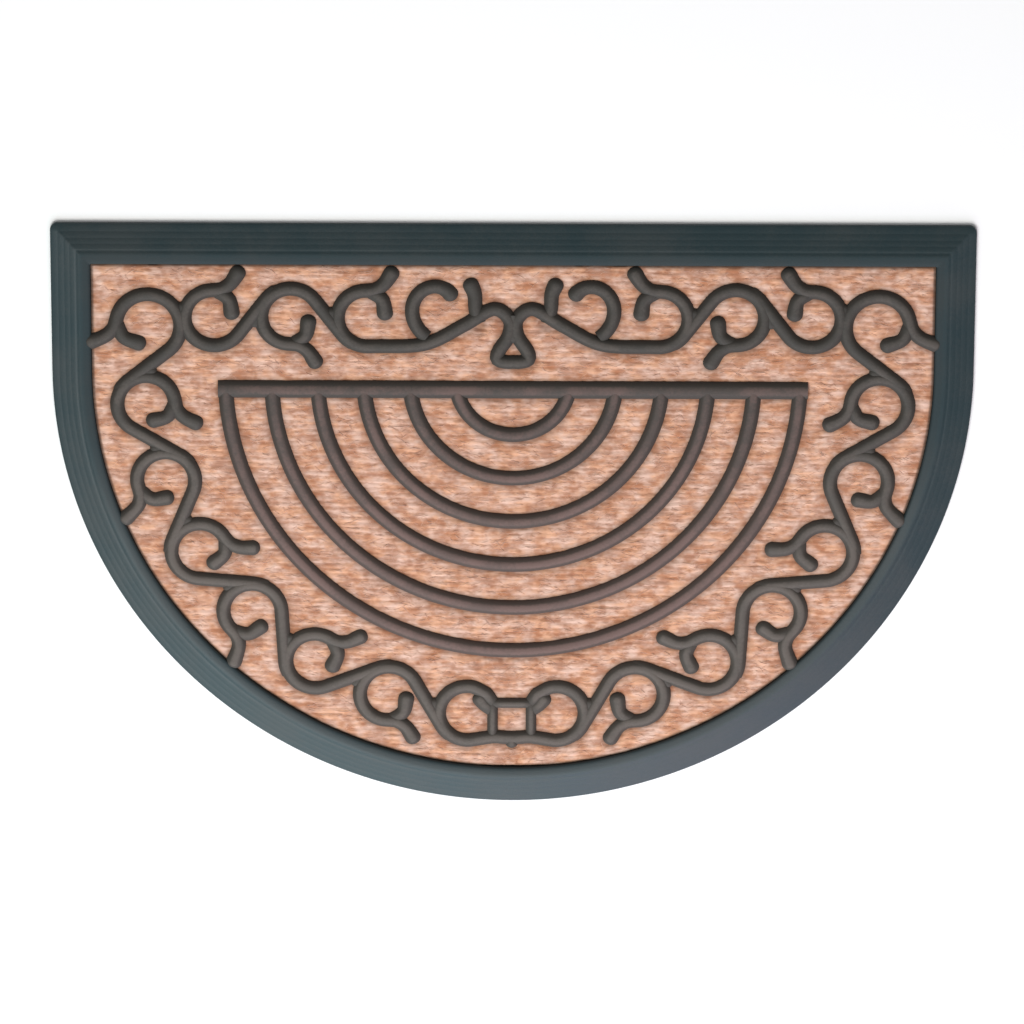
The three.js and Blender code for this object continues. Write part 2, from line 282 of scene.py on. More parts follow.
def arc(centre, start, stop, radius, last_radius=None, step=4.0):
    """Points on an arc whose radius changes evenly from one angle to the other."""
    share = np.linspace(0, 1, max(4, int(abs(stop - start) / step)) + 1)
    last = radius if last_radius is None else last_radius
    return polar(centre, radius + (last - radius) * share, start + (stop - start) * share)


def through(points):
    """A Catmull-Rom curve: on each span a cubic whose end slopes are half the chord of its neighbours."""
    p = np.asarray(points, float)
    p = np.concatenate((2 * p[:1] - p[1:2], p, 2 * p[-1:] - p[-2:-1]))
    a, b, c, d = (p[i:len(p) - 3 + i, None] for i in range(4))
    t = np.linspace(0, 1, SPAN_PIECES, endpoint=False)[None, :, None]
    spans = 0.5 * (2 * b + (c - a) * t + (2 * a - 5 * b + 4 * c - d) * t ** 2
                   + (3 * b - a - 3 * c + d) * t ** 3)
    return np.concatenate((spans.reshape(-1, 2), p[-2:-1]))


def even(path, step):
    """A path's points spaced evenly by arc length."""
    path = np.asarray(path, float)
    along = np.concatenate(([0], np.cumsum(np.linalg.norm(np.diff(path, axis=0), axis=1))))
    marks = np.linspace(0, along[-1], max(3, int(along[-1] / step)) + 1)
    return np.stack([np.interp(marks, along, path[:, k]) for k in (0, 1)], axis=-1)


def outline(inset, corner_radius, width, depth):
    """The mat's outline drawn in by an inset, anticlockwise: a straight top, two small corners, two
    straight sides and a half circle. Every inset has the same number of points."""
    half = width / 2 - inset
    top = depth / 2 - inset
    radius = max(corner_radius - inset, 1.0)
    right = polar((half - radius, top - radius), radius, np.linspace(0, 90, CORNER_STEPS + 1))
    left = polar((radius - half, top - radius), radius, np.linspace(90, 180, CORNER_STEPS + 1))
    side_length = depth / 2 - ROUND_CENTRE[1]
    edge = np.linspace(0, 1, int(width / EDGE_STEP) + 1)[1:-1, None]
    side = np.linspace(0, 1, int(side_length / EDGE_STEP) + 1)[1:-1, None]
    round_edge = polar(ROUND_CENTRE, half, np.linspace(180, 360, int(180 / ROUND_STEP) + 1))
    return np.concatenate((
        right, right[-1] + (left[0] - right[-1]) * edge, left,
        left[-1] + (round_edge[0] - left[-1]) * side, round_edge,
        round_edge[-1] + (right[0] - round_edge[-1]) * side))


def crossing(start, stop, turn):
    """Direction of the stem's straight run from one circle (x, y, radius) to the far side of the next."""
    dx, dy = stop[0] - start[0], stop[1] - start[1]
    reach = start[2] + stop[2]
    run = math.sqrt(dx * dx + dy * dy - reach * reach)
    return math.degrees(math.atan2(dy, dx) + turn * math.atan2(reach, run))


def vine(circles, first_turn, last_angle):
    """Plan lines of one vine. Each circle (x, y, radius, start, fork turn) has a ring that starts at its
    outer prong, curls round past the place where the stem arrives, and leaves as the stem for the next
    circle, whose other side it meets. An inner prong branches off near the curl's apex, and a web fills
    the narrow angle where a stem runs in beside a ring. Returns rings, inner prongs and webs."""
    rings, prongs, webs = [], [], []
    for i, (x, y, radius, start, fork_turn) in enumerate(circles):
        turn = -first_turn if i % 2 else first_turn
        centre = np.array((x, y))
        behind, ahead = circles[max(i - 1, 0)], circles[min(i + 1, len(circles) - 1)]
        angle = math.atan2(ahead[1] - behind[1], ahead[0] - behind[0]) - turn * math.radians(fork_turn)
        along = np.array((math.cos(angle), math.sin(angle)))
        side = turn * np.array((-along[1], along[0]))
        begin, inner = (np.array([centre + radius * (reach * side + run * along) for reach, run in places])
                        for places in (start, INNER_PRONG))
        last = i + 1 == len(circles)
        heading = 0.0 if last else crossing(circles[i], ahead, turn)
        leave = last_angle if last else heading - 90 * turn
        apex = math.degrees(math.atan2(side[1], side[0]))
        curl = arc(centre, apex, apex + turn * (((leave - apex) * turn) % 360), APEX_REACH * radius, radius)
        lead = through(np.concatenate((begin, curl[:9:4])))[:SPAN_PIECES * len(begin)]
        ring = [lead, curl]
        if not last:
            meet = heading + 90 * turn
            arrival = polar(ahead[:2], ahead[2], meet)
            ring.append(arc(ahead[:2], meet, meet - STEM_OVERLAP * turn, ahead[2]))
            reach = np.full(len(WEB_RUN), ahead[2])
            beside = polar(ahead[:2], reach, meet + turn * np.degrees(WEB_RUN / ahead[2]))
            webs.append(0.5 * (beside + arrival - WEB_RUN[:, None] * polar((0, 0), 1.0, heading)))
        rings.append(np.concatenate(ring))
        prongs.append(through(inner))
    return rings, prongs, webs


def side_fork(i):
    """How the fork of a circle of the side vine starts, and how far it is turned round its curl."""
    if i == SIDE_CIRCLES - 1:
        return LINK_START, 0.0
    if i == SIDE_CIRCLES - 2:
        return FREE_PRONG, LINK_FORK_TURN
    if i == 0:
        return FREE_PRONG, CORNER_FORK_TURN
    return FREE_PRONG if i % 2 else BORDER_PRONG, 0.0


def scroll_lines():
    """Plan lines of the whole scroll: (path, style of its start, style of its end, drop, share of the rib
    width), left half, its mirror and the two ribs on the middle line. Drop lowers a rib's crown a little,
    so that no two crowns lie in one another where ribs join."""
    side_circles = []
    for i in range(SIDE_CIRCLES):
        x, y = polar(SIDE_CENTRE, SIDE_RADIUS, SIDE_FIRST + i * SIDE_STEP)
        side_circles.append((x, y, CURL_RADIUS if i else CORNER_CURL_RADIUS, *side_fork(i)))
    top_circles = [(TOP_X + i * TOP_PITCH, TOP_Y, CURL_RADIUS, FREE_PRONG, 0.0) for i in range(TOP_CIRCLES)]
    side_rings, side_prongs, side_webs = vine(side_circles, -1, LAST_ANGLE)
    top_rings, top_prongs, top_webs = vine(top_circles, 1, LAST_ANGLE)

    share = np.linspace(1, 0, HOOK_POINTS)
    hook = polar(HOOK_CENTRE, HOOK_TIGHTEST + (HOOK_WIDEST - HOOK_TIGHTEST) * share ** 3,
                 HOOK_TO + (HOOK_FROM - HOOK_TO) * share)
    post, bar_end = (LINK_POST_X, LINK_RAIL_Y), (LINK_POST_X, LINK_BAR_Y)
    last_ring = side_rings.pop()
    lead = through([bar_end, last_ring[0], last_ring[6]])[:SPAN_PIECES]
    rail = through([last_ring[-1], post, (-5, LINK_RAIL_Y - 0.4), (1, LINK_RAIL_Y - 0.6)])
    last_top = top_rings.pop()
    bell = through([last_top[-1], *BELL])

    lines = [(ring, "round", "sink", 0.05 * (i % 2), 1.0) for i, ring in enumerate(side_rings + top_rings)]
    lines += [(prong, "sink", "round", 0.14, 1.0) for prong in side_prongs[:-1] + top_prongs]
    lines += [(web, "cut", "round", WEB_DROP, WEB_SHARE) for web in side_webs + top_webs]
    lines += [
        (np.concatenate((last_top, bell[1:])), "round", "cut", 0.02, 1.0),
        (np.concatenate((lead, last_ring, rail[1:])), "sink", "cut", 0.08, 1.0),
        (hook, "sink", "round", 0.16, 1.0),
        (through(SPUR), "sink", "round", 0.2, 1.0),
        (through(LINK_HOOK), "sink", "round", 0.2, 1.0),
        (through([bar_end, (1, LINK_BAR_Y)]), "sink", "cut", 0.16, LINK_SHARE),
        (through([bar_end, post]), "sink", "sink", 0.18, LINK_SHARE),
        (through(CORNER_WEB), "round", "round", WEB_DROP, WEB_SHARE),
    ]
    mirror = np.array((-1, 1))
    lines += [(line * mirror, start, end, drop + 0.02, width) for line, start, end, drop, width in lines]
    lines += [
        (through(LINK_DROP), "cut", "round", 0.25, 0.8),
        (through(BELL_NECK), "cut", "round", 0.3, 0.9),
    ]
    return lines


def fan_lines(bar_width):
    """Plan lines of the fan: six half rings that end in the bar, then the bar."""
    bar_y = FAN_CENTRE[1] - bar_width / 2
    dips = np.degrees(np.arcsin(bar_width / 2 / FAN_RADII))
    rings = [arc(FAN_CENTRE, 180 + dip, 360 - dip, radius, step=2.0)
             for radius, dip in zip(FAN_RADII, dips)]
    reach = FAN_RADII[-1] + BAR_OVERHANG
    return rings, np.array(((-reach, bar_y), (0, bar_y), (reach, bar_y)))


def rib_crown(across):
    """Height of a rib's section, from 0 at its sides to 1 on its crown: a round with leaning sides."""
    return (1 - np.minimum(np.abs(across), 1) ** CROWN_POWER) ** LEAN_POWER


def tube_quads(index):
    """Quads between neighbouring rings of points: the last axis of the index goes round a ring, the one
    before it from ring to ring, and any other from tube to tube."""
    right = np.roll(index, -1, axis=-1)
    quads = (index[..., :-1, :], right[..., :-1, :], right[..., 1:, :], index[..., 1:, :])
    return np.stack(quads, axis=-1).reshape(-1, 4)


def carry(path, half_width, root, top, start, end):
    """A rounded rib section carried along a plan path, closed. Towards a round end it grows wider by the
    knob's share and goes on as a dome: at an angle a beyond the end it is cos(a) as wide and as high as
    the section is at sin(a). Towards a sinking end its crown dives a little, into the rib it joins. A cut
    end stops square."""
    slope = np.gradient(path, axis=0)
    slope /= np.linalg.norm(slope, axis=1, keepdims=True)
    along = np.concatenate(([0], np.cumsum(np.linalg.norm(np.diff(path, axis=0), axis=1))))
    swell, crown = np.ones(len(path)), np.ones(len(path))
    for style, away in ((start, along), (end, along[-1] - along)):
        swell += KNOB * (style == "round") * np.exp(-(away / KNOB_REACH) ** 2)
        crown -= SINK * (style == "sink") * np.clip(1 - away / SINK_REACH, 0, 1) ** 2
    place, width, height = [path], [swell], [crown]
    angles = DOME_ANGLES
    if end == "round":
        place.append(path[-1] + slope[-1] * half_width * np.sin(angles)[:, None])
        width.append(swell[-1] * np.cos(angles))
        height.append(rib_crown(np.sin(angles)))
    if start == "round":
        place.insert(0, path[0] - slope[0] * half_width * np.sin(angles[::-1])[:, None])
        width.insert(0, swell[0] * np.cos(angles[::-1]))
        height.insert(0, rib_crown(np.sin(angles[::-1])))
    slope = np.concatenate((np.repeat(slope[:1], len(angles) * (start == "round"), axis=0), slope,
                            np.repeat(slope[-1:], len(angles) * (end == "round"), axis=0)))
    place, width, height = np.concatenate(place), np.concatenate(width), np.concatenate(height)
    across = -np.cos(np.linspace(0, np.pi, SECTION_POINTS))
    up = rib_crown(across)
    across = np.concatenate(([-1], across, [1]))
    left = np.stack((-slope[:, 1], slope[:, 0]), axis=-1)
    xy = place[:, None] - left[:, None] * (across[None, :, None] * half_width * width[:, None, None])
    z = root + (top - root) * height[:, None] * up[None, :]
    foot = np.full((len(z), 1), root - SKIRT)
    z = np.concatenate((foot, z, foot), axis=1)
    points = np.concatenate((xy, z[..., None]), axis=-1)
    index = np.arange(z.size).reshape(z.shape)
    return points.reshape(-1, 3), tube_quads(index), np.stack((index[0, ::-1], index[-1]))


def joined(ribs):
    """Several ribs' points, quads and end faces as one mesh's points and faces."""
    points, quads, ends = zip(*ribs)
    starts = np.cumsum([0] + [len(part) for part in points[:-1]])
    quads, ends = (np.concatenate([start + part for start, part in zip(starts, parts)])
                   for parts in (quads, ends))
    return np.concatenate(points), quads.tolist() + ends.tolist()


def lattice(x, y, cell, seed):
    """Smooth noise from 0 to 1: random values on a square lattice, blended between its points."""
    table = np.random.default_rng(seed).random((LATTICE, LATTICE))
    x, y = np.asarray(x) / cell + LATTICE_SHIFT, np.asarray(y) / cell + LATTICE_SHIFT
    column, row = np.floor(x).astype(int), np.floor(y).astype(int)
    s, t = x - column, y - row
    s, t = s * s * (3 - 2 * s), t * t * (3 - 2 * t)
    left, right = column % LATTICE, (column + 1) % LATTICE
    low, high = row % LATTICE, (row + 1) % LATTICE
    a, b, c, d = table[low, left], table[low, right], table[high, left], table[high, right]
    return (a + (b - a) * s) * (1 - t) + (c + (d - c) * s) * t


def nearest(x, y, lines):
    """Distance from each place to the nearest rib centreline, each less that rib's half width."""
    marks = [even(path, MARK_STEP) for path, _ in lines]
    halves = np.repeat([half for _, half in lines], [len(part) for part in marks]).astype(np.float32)
    marks = np.concatenate(marks).astype(np.float32)
    flat = np.stack((x.ravel(), y.ravel()), axis=-1).astype(np.float32)
    out = np.empty(len(flat), np.float32)
    for start in range(0, len(flat), CHUNK):
        part = flat[start:start + CHUNK]
        dx = part[:, :1] - marks[None, :, 0]
        dy = part[:, 1:] - marks[None, :, 1]
        out[start:start + CHUNK] = (np.sqrt(dx * dx + dy * dy) - halves).min(axis=1)
    return out.reshape(x.shape)


def rib_centrelines(sizes):
    """Every rib's centreline with its half width, in millimetres."""
    rings, bar = fan_lines(sizes.bar_width / MM)
    half = sizes.bar_width / MM / 2
    short_bar = bar - np.sign(bar[:, :1]) * np.array((half, 0))
    return ([(line, width * sizes.scroll_width / MM / 2) for line, *_, width in scroll_lines()]
            + [(ring, sizes.fan_width / MM / 2) for ring in rings] + [(short_bar, half)])


def weave(x, y, coir):
    """Height of the weave, from 0 in the dips to 1 on the yarn, and the tone of the yarn there, 0 to 1.
    Rows of yarn run along x, drawn a little out of true by noise. Each row is cut into floats from its
    own random start. A float is a long pillow: round across its row, and flat along it until its ends
    dip. Each float has a random height and a random tone."""
    bend = 0.8 * (lattice(x, y, cell=40, seed=11) - 0.5)
    wobble = 0.5 * (lattice(x, y, cell=9, seed=15) - 0.5)
    rows = y / (coir.row_pitch / MM) + bend + wobble
    row = np.floor(rows).astype(int)
    begin = np.random.default_rng(12).random(ROW_STARTS)[row % ROW_STARTS]
    drift = 0.9 * (lattice(x, 7 * row, cell=24, seed=12) - 0.5)
    floats = x / (coir.float_length / MM) + begin + drift
    number = np.floor(floats)
    along = np.abs(2 * (floats - number) - 1)
    across = np.abs(2 * (rows - row) - 1)
    pillow = (1 - across ** 2.4) ** 0.6 * (1 - 0.55 * along ** 4)
    height = pillow * (0.55 + 0.45 * lattice(number, row, cell=1, seed=13))
    return height, lattice(number, row, cell=1, seed=16)


def coir_surface(x, y, edge, sizes, coir, lines):
    """Height of the coir in millimetres: the weave on a slowly wavy panel, pressed down beside the ribs
    and along the border. Edge is the distance to the border. Also gives how close a rib or the border is,
    and the weave's height and tone."""
    gap = np.minimum(nearest(x, y, lines), edge)
    press = np.exp(-np.clip(gap, 0, None) / PRESS_REACH)
    swell = 0.5 * (lattice(x, y, cell=38, seed=21) - 0.5)
    height, tone = weave(x, y, coir)
    relief = coir.relief / MM * (height - 0.55)
    z = sizes.coir_top / MM + OPEN_RISE + swell + relief * (1 - 0.4 * press) - PRESS_DEPTH * press
    return z, press, height, tone


def panel_half(sizes):
    """Half the panel's width."""
    return sizes.width / MM / 2 - sizes.coir_inset / MM


def panel_top(sizes):
    """Where the panel's straight edge lies along y."""
    return sizes.depth / MM / 2 - sizes.coir_inset / MM


def half_width_at(y, sizes):
    """Half the panel's width at a place along y: straight sides, then a circle."""
    half = panel_half(sizes)
    below = np.clip(ROUND_CENTRE[1] - y, 0, half)
    return np.sqrt(half ** 2 - below ** 2)


def panel_gap(x, y, sizes):
    """Distance from a place on the panel to the panel's edge."""
    half = panel_half(sizes)
    straight = half - np.abs(x)
    curved = half - np.hypot(x, y - ROUND_CENTRE[1])
    return np.minimum(np.where(y > ROUND_CENTRE[1], straight, curved), panel_top(sizes) - y)


class Value:
    """A shader socket in an expression: each operator adds a Math node."""

    def __init__(self, shader, socket):
        self.shader = shader
        self.socket = socket

    def math(self, operation, *others):
        sockets = dict(enumerate((self, *others)))
        return self.shader.node("ShaderNodeMath", {"operation": operation}, sockets)

    def __add__(self, other):
        return self.math("ADD", other)

    def __sub__(self, other):
        return self.math("SUBTRACT", other)

    def __rsub__(self, other):
        return self.shader.node("ShaderNodeMath", {"operation": "SUBTRACT"}, {0: other, 1: self})

    def __mul__(self, other):
        return self.math("MULTIPLY", other)

    def __pow__(self, other):
        return self.math("POWER", other)

    __radd__ = __add__
    __rmul__ = __mul__


class Shader:
    """One material's node tree, with its Principled shader and expressions on its sockets."""

    def __init__(self, name):
        self.material = bpy.data.materials.new(name)
        self.material.use_nodes = True
        self.tree = self.material.node_tree
        self.tree.nodes.clear()
        self.principled = self.tree.nodes.new("ShaderNodeBsdfPrincipled")
        output = self.tree.nodes.new("ShaderNodeOutputMaterial")
        self.tree.links.new(self.principled.outputs[0], output.inputs["Surface"])

    def put(self, socket, value):
        if isinstance(value, Value):
            self.tree.links.new(value.socket, socket)
        else:
            socket.default_value = value

    def node(self, kind, settings=None, sockets=None, output=0):
        """A node of a kind, with its settings set first and then its sockets' values or links."""
        made = self.tree.nodes.new(kind)
        for name, setting in (settings or {}).items():
            if name == "stops":
                ramp = made.color_ramp.elements
                while len(ramp) < len(setting):
                    ramp.new(1.0)
                for element, (position, colour) in zip(ramp, setting):
                    element.position = position
                    element.color = (*colour, 1.0)
            else:
                setattr(made, name, setting)
        for key, value in (sockets or {}).items():
            self.put(made.inputs[key], value)
        return Value(self, made.outputs[output])

    def surface(self, **sockets):
        for name, value in sockets.items():
            self.put(self.principled.inputs[name.replace("_", " ")], value)
        return self.material

    def place(self):
        """Object coordinates, whole and split into x, y and z, in metres."""
        whole = self.node("ShaderNodeTexCoord", output="Object")
        split = [self.node("ShaderNodeSeparateXYZ", sockets={0: whole}, output=k) for k in range(3)]
        return whole, split

    def noise(self, vector, scale, detail, roughness=0.5):
        return self.node("ShaderNodeTexNoise", sockets={
            "Vector": vector, "Scale": scale, "Detail": detail, "Roughness": roughness})

    def vector(self, x, y, z):
        return self.node("ShaderNodeCombineXYZ", sockets={0: x, 1: y, 2: z})

    def between(self, value, low, high):
        """0 below low, 1 above high, and a smooth step between."""
        return self.node("ShaderNodeMapRange", {"interpolation_type": "SMOOTHSTEP"},
                         {"Value": value, "From Min": low, "From Max": high})

    def mix(self, factor, first, second, blend="MIX"):
        """Two colours mixed."""
        first, second = (c if isinstance(c, Value) else (*c, 1.0) for c in (first, second))
        return self.node("ShaderNodeMix", {"data_type": "RGBA", "blend_type": blend},
                         {0: factor, 6: first, 7: second}, output=2)

    def bump(self, height, distance, strength):
        return self.node("ShaderNodeBump", sockets={
            "Height": height, "Distance": distance, "Strength": strength})


def border_material(name, rubber):
    """Moulded rubber of the border and backing: dark, finely grained and dusty in soft patches. The bead
    and the inner slope by the coir are painted darker: painted shade. The bead is duller except round
    the round edge, where shoes have rubbed it smooth. Inset from the mat's edge is read from the piece's
    own attribute, in millimetres."""
    shader = Shader(name)
    whole, (_, y, _) = shader.place()
    inset = shader.node("ShaderNodeAttribute", {"attribute_name": "inset"}, output="Fac")
    patches = shader.noise(whole, 17.0, 4.0, 0.62)
    specks = shader.noise(whole, 620.0, 2.0, 0.6)
    grain = shader.noise(whole, 1500.0, 2.0, 0.6)
    scuffs = shader.between(patches + 0.35 * specks, 0.52, 0.9)
    colour = shader.mix(0.16 * scuffs, tuple(rubber.clean), tuple(rubber.dusty_and_lit))
    # Painted shade: the bead and the inner slope down to the coir are darkened as the shade that falls
    # there.
    shade = 0.22 * shader.between(inset, 19.5, 22.0) + 0.12 * shader.between(inset + patches, 24.2, 26.0)
    colour = shader.mix(shade, colour, (0.006, 0.006, 0.006))
    dull = shader.between(inset, 17.0, 20.0) * (1.0 - 0.88 * shader.between(0.0 - y, -0.08, 0.02))
    rough = 0.40 + 0.16 * patches + 0.1 * specks + 0.25 * dull
    return shader.surface(Base_Color=colour, Roughness=rough, Specular_IOR_Level=0.5,
                          Normal=shader.bump(0.6 * specks + 0.4 * grain, 0.00025, 0.5))


def rib_material(name, rubber, worn_and_lit):
    """Moulded rubber of the ribs: dark sides and a lighter crown. The sides are dark partly as rubber and
    partly as painted shade; the crown is lighter partly from wear and coir dust and partly as painted light
    on the top. Towards the round edge's side, where the lamps stand, crowns and sides are painted lighter."""
    shader = Shader(name)
    whole, (_, y, z) = shader.place()
    patches = shader.noise(whole, 30.0, 4.0, 0.62)
    specks = shader.noise(whole, 520.0, 2.0, 0.6)
    grain = shader.noise(whole, 1500.0, 2.0, 0.6)
    # Painted shade and light: the sides are darker and the crown lighter, partly as wear and dust, partly as
    # painted light on the top.
    crown = shader.between(z + 0.0004 * (specks - 0.5), CROWN_FROM, CROWN_TO)
    # Painted light: lighter towards the round edge's side, where the lamps stand.
    painted_light = shader.between(0.0 - y, -0.14, 0.06)
    scuffs = shader.between(patches + 0.3 * specks, 0.45, 0.85)
    pale = crown * (0.65 * painted_light + 0.6 * scuffs) + 0.3 * painted_light * (1.0 - crown)
    colour = shader.mix(pale.math("MINIMUM", 1.0), tuple(rubber.flank), tuple(worn_and_lit))
    rough = 0.55 + 0.2 * patches + 0.1 * specks
    return shader.surface(Base_Color=colour, Roughness=rough, Specular_IOR_Level=0.35,
                          Normal=shader.bump(0.6 * specks + 0.4 * grain, 0.00025, 0.6))


def coir_material(name, coir):
    """Woven coir: every float of yarn has its own tone, the cloth is mottled and warmer in patches, and fine
    fibre streaks and short reddish flecks run along the rows. Painted shade darkens the dips between
    floats and the strip that is pressed beside the rubber, and a painted shadow darkens the coir along the
    border. Tone, dips, strip and border edge are read from the piece's own attributes."""
    shader = Shader(name)
    _, (x, y, z) = shader.place()
    press, height, tone, rim = (shader.node("ShaderNodeAttribute", {"attribute_name": label}, output="Fac")
                                for label in ("press", "height", "tone", "rim"))
    streaks = shader.noise(shader.vector(0.16 * x + 0.03 * y, y, z), 1100.0, 3.0, 0.65)
    dashes = shader.noise(shader.vector(0.55 * x, y, z), 270.0, 2.0, 0.55)
    mottle = shader.noise(shader.vector(0.65 * x, y, z), 110.0, 3.0, 0.65)
    flecks = shader.between(shader.noise(shader.vector(0.3 * x, y + 0.4, z), 330.0, 1.0, 0.5), 0.60, 0.72)
    warmth = shader.between(shader.noise(shader.vector(0.6 * x, y + 0.9, z), 120.0, 2.0, 0.6), 0.36, 0.66)
    pale = 0.42 * tone + 1.3 * (dashes - 0.5) + 2.3 * (mottle - 0.5) + 0.1 * (streaks - 0.5) + 0.32
    colour = shader.mix(shader.between(pale, 0.0, 1.0), tuple(coir.tan), tuple(coir.pale))
    colour = shader.mix(0.8 * warmth, colour, (1.0, 0.78, 0.57), "MULTIPLY")
    # Painted shade: the dips between floats are darkened towards the brown, broken up by the dashes.
    dips = shader.between(1.0 - height, 0.30, 0.95) * (0.35 + 0.8 * (1.0 - dashes))
    colour = shader.mix((0.42 * dips + 0.42 * flecks).math("MINIMUM", 0.8), colour, tuple(coir.brown))
    # Painted shade: the strip pressed beside the ribs and the border is darkened as the shade that falls
    # there.
    colour = shader.mix(0.55 * press ** 1.3, colour, (0.10, 0.052, 0.034))
    # Painted shadow: the coir is darkened along the border's inner wall.
    colour = shader.mix(0.75 * shader.between(rim, 0.22, 0.85), colour, (0.045, 0.032, 0.024))
    return shader.surface(Base_Color=colour, Roughness=0.86 + 0.12 * streaks,
                          Normal=shader.bump(streaks + 0.6 * dashes, 0.0005, 0.35), Specular_IOR_Level=0.2)


def fibre_material(name, coir):
    """Loose coir fibres: each has its own tone from straw to brown."""
    shader = Shader(name)
    whole, _ = shader.place()
    tone = shader.node("ShaderNodeAttribute", {"attribute_name": "tone"}, output="Fac")
    wear = shader.noise(whole, 700.0, 2.0, 0.5)
    stops = [(0.0, tuple(coir.brown)), (0.35, tuple(coir.tan)), (0.75, tuple(coir.pale)),
             (1.0, (0.80, 0.58, 0.44))]
    colour = shader.node("ShaderNodeValToRGB", {"stops": stops}, {0: 0.35 + 0.5 * tone + 0.15 * wear})
    return shader.surface(Base_Color=colour, Roughness=0.7 + 0.2 * wear, Specular_IOR_Level=0.3)


def make_piece(name, points, faces, material, slot, node=None, sharp=None):
    """A finished piece: its mesh in metres, its material, its body, and the solid it stands for. Edges
    between faces that turn by more than the sharp angle, in degrees, aren't smoothed."""
    mesh = bpy.data.meshes.new(name)
    mesh.from_pydata(np.asarray(points) * MM, [], faces)
    mesh.polygons.foreach_set("use_smooth", np.ones(len(mesh.polygons), bool))
    if sharp is not None:
        mesh.set_sharp_from_angle(angle=math.radians(sharp))
    mesh.materials.append(material)
    mesh.update()
    piece = bpy.data.objects.new(name, mesh)
    bpy.context.scene.collection.objects.link(piece)
    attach(piece, BODY)
    if node:
        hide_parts(node)
    return piece


def set_values(piece, label, values):
    """Give a piece an attribute with one value for each point."""
    layer = piece.data.attributes.new(label, "FLOAT", "POINT")
    layer.data.foreach_set("value", values.astype(np.float32))


class DOORMAT_OT_border(bpy.types.Operator):
    """Build the rubber border and backing sheet"""

    bl_idname = "doormat.border"
    bl_label = "Border and backing"

    def execute(self, context):
        """The border section's inset and height, carried round the outline, closed by the flat underside
        and the backing's top face."""
        sizes = context.scene.doormat_sizes
        plan = [outline(inset, sizes.corner_radius / MM, sizes.width / MM, sizes.depth / MM)
                for inset in BORDER_SECTION[:, 0]]
        rows, columns = len(plan), len(plan[0])
        heights = np.repeat(BORDER_SECTION[:, 1], columns)
        points = np.column_stack((np.concatenate(plan), heights))
        index = np.arange(rows * columns).reshape(rows, columns)
        faces = tube_quads(index).tolist() + [index[0, ::-1].tolist(), index[-1].tolist()]
        material = border_material("border rubber", context.scene.doormat_rubber)
        piece = make_piece("border_and_backing", points, faces, material, "rubber", "rubber_moulding",
                           sharp=38)
        set_values(piece, "inset", np.repeat(BORDER_SECTION[:, 0], columns))
        return {"FINISHED"}


class DOORMAT_OT_scroll(bpy.types.Operator):
    """Build the raised scroll ribs"""

    bl_idname = "doormat.scroll"
    bl_label = "Scroll ribs"

    def execute(self, context):
        """The rib section carried along each line of the scroll, with that line's width and crown."""
        sizes, rubber = context.scene.doormat_sizes, context.scene.doormat_rubber
        half, root, top = sizes.scroll_width / MM / 2, sizes.rib_root / MM, sizes.rib_top / MM
        parts = [carry(even(line, SCROLL_STEP), width * half, root, top - drop, start, end)
                 for line, start, end, drop, width in scroll_lines()]
        material = rib_material("scroll rubber", rubber, rubber.dusty_and_lit)
        make_piece("scroll_ribs", *joined(parts), material, "rubber", "rubber_moulding", sharp=50)
        return {"FINISHED"}


class DOORMAT_OT_fan(bpy.types.Operator):
    """Build the fan of half rings and its bar"""

    bl_idname = "doormat.fan"
    bl_label = "Fan ribs"

    def execute(self, context):
        """The rib section carried along each half ring, a little lower than the bar, and along the bar."""
        sizes, rubber = context.scene.doormat_sizes, context.scene.doormat_rubber
        rings, bar = fan_lines(sizes.bar_width / MM)
        half, root, top = sizes.fan_width / MM / 2, sizes.rib_root / MM, sizes.rib_top / MM
        parts = [carry(even(ring, FAN_STEP), half, root, top - FAN_DROP, "cut", "cut") for ring in rings]
        parts.append(carry(even(bar, BAR_STEP), sizes.bar_width / MM / 2, root, top, "cut", "cut"))
        material = rib_material("fan rubber", rubber, rubber.trodden_and_lit)
        make_piece("fan_ribs", *joined(parts), material, "rubber", "rubber_moulding", sharp=50)
        return {"FINISHED"}


